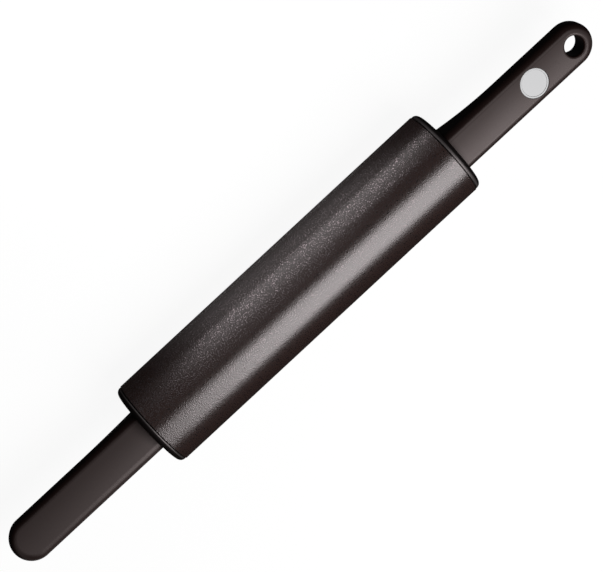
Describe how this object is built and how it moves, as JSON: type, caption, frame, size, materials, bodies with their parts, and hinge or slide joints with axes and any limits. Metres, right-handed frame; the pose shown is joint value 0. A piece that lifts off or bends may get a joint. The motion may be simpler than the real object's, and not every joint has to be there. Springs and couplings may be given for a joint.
{
  "type": "rolling pin",
  "caption": "Rolling pin with a hollow non-stick coated roller and two flat, offset plastic handles that turn freely; one handle has a hanging hole.",
  "frame": {"origin": "middle of the roller, on its axis", "axes": "+X along the roller's axis towards the handle with the hanging hole, +Z out of that handle's front face"},
  "size_m": [0.4758, 0.06, 0.06],
  "materials": {
    "nonstick_coating": "aluminium tube with a dark brown-black non-stick coating, satin with a fine sparkling grain",
    "cap_plastic": "black moulded plastic, satin",
    "bush_plastic": "dark grey bearing plastic, smooth",
    "handle_plastic": "black-brown moulded nylon, smooth satin",
    "fastener_steel": "bright zinc-plated steel",
    "disc_metal": "satin silver disc"
  },
  "bodies": {
    "roller": {"barrel_tube": "nonstick_coating", "left_end_cap": "cap_plastic", "right_end_cap": "cap_plastic", "left_bearing_bush": "bush_plastic", "right_bearing_bush": "bush_plastic"},
    "left_handle": {"left_handle": "handle_plastic", "left_retaining_washer": "fastener_steel", "left_retaining_screw": "fastener_steel"},
    "right_handle": {"right_handle": "handle_plastic", "right_retaining_washer": "fastener_steel", "right_retaining_screw": "fastener_steel", "plain_disc": "disc_metal"}
  },
  "joints": [
    {"name": "left_handle_turn", "type": "hinge", "parent": "roller", "child": "left_handle", "pos_m": [-0.1215, 0, 0], "axis": [1, 0, 0], "continuous": true},
    {"name": "right_handle_turn", "type": "hinge", "parent": "roller", "child": "right_handle", "pos_m": [0.1215, 0, 0], "axis": [1, 0, 0], "continuous": true}
  ]
}
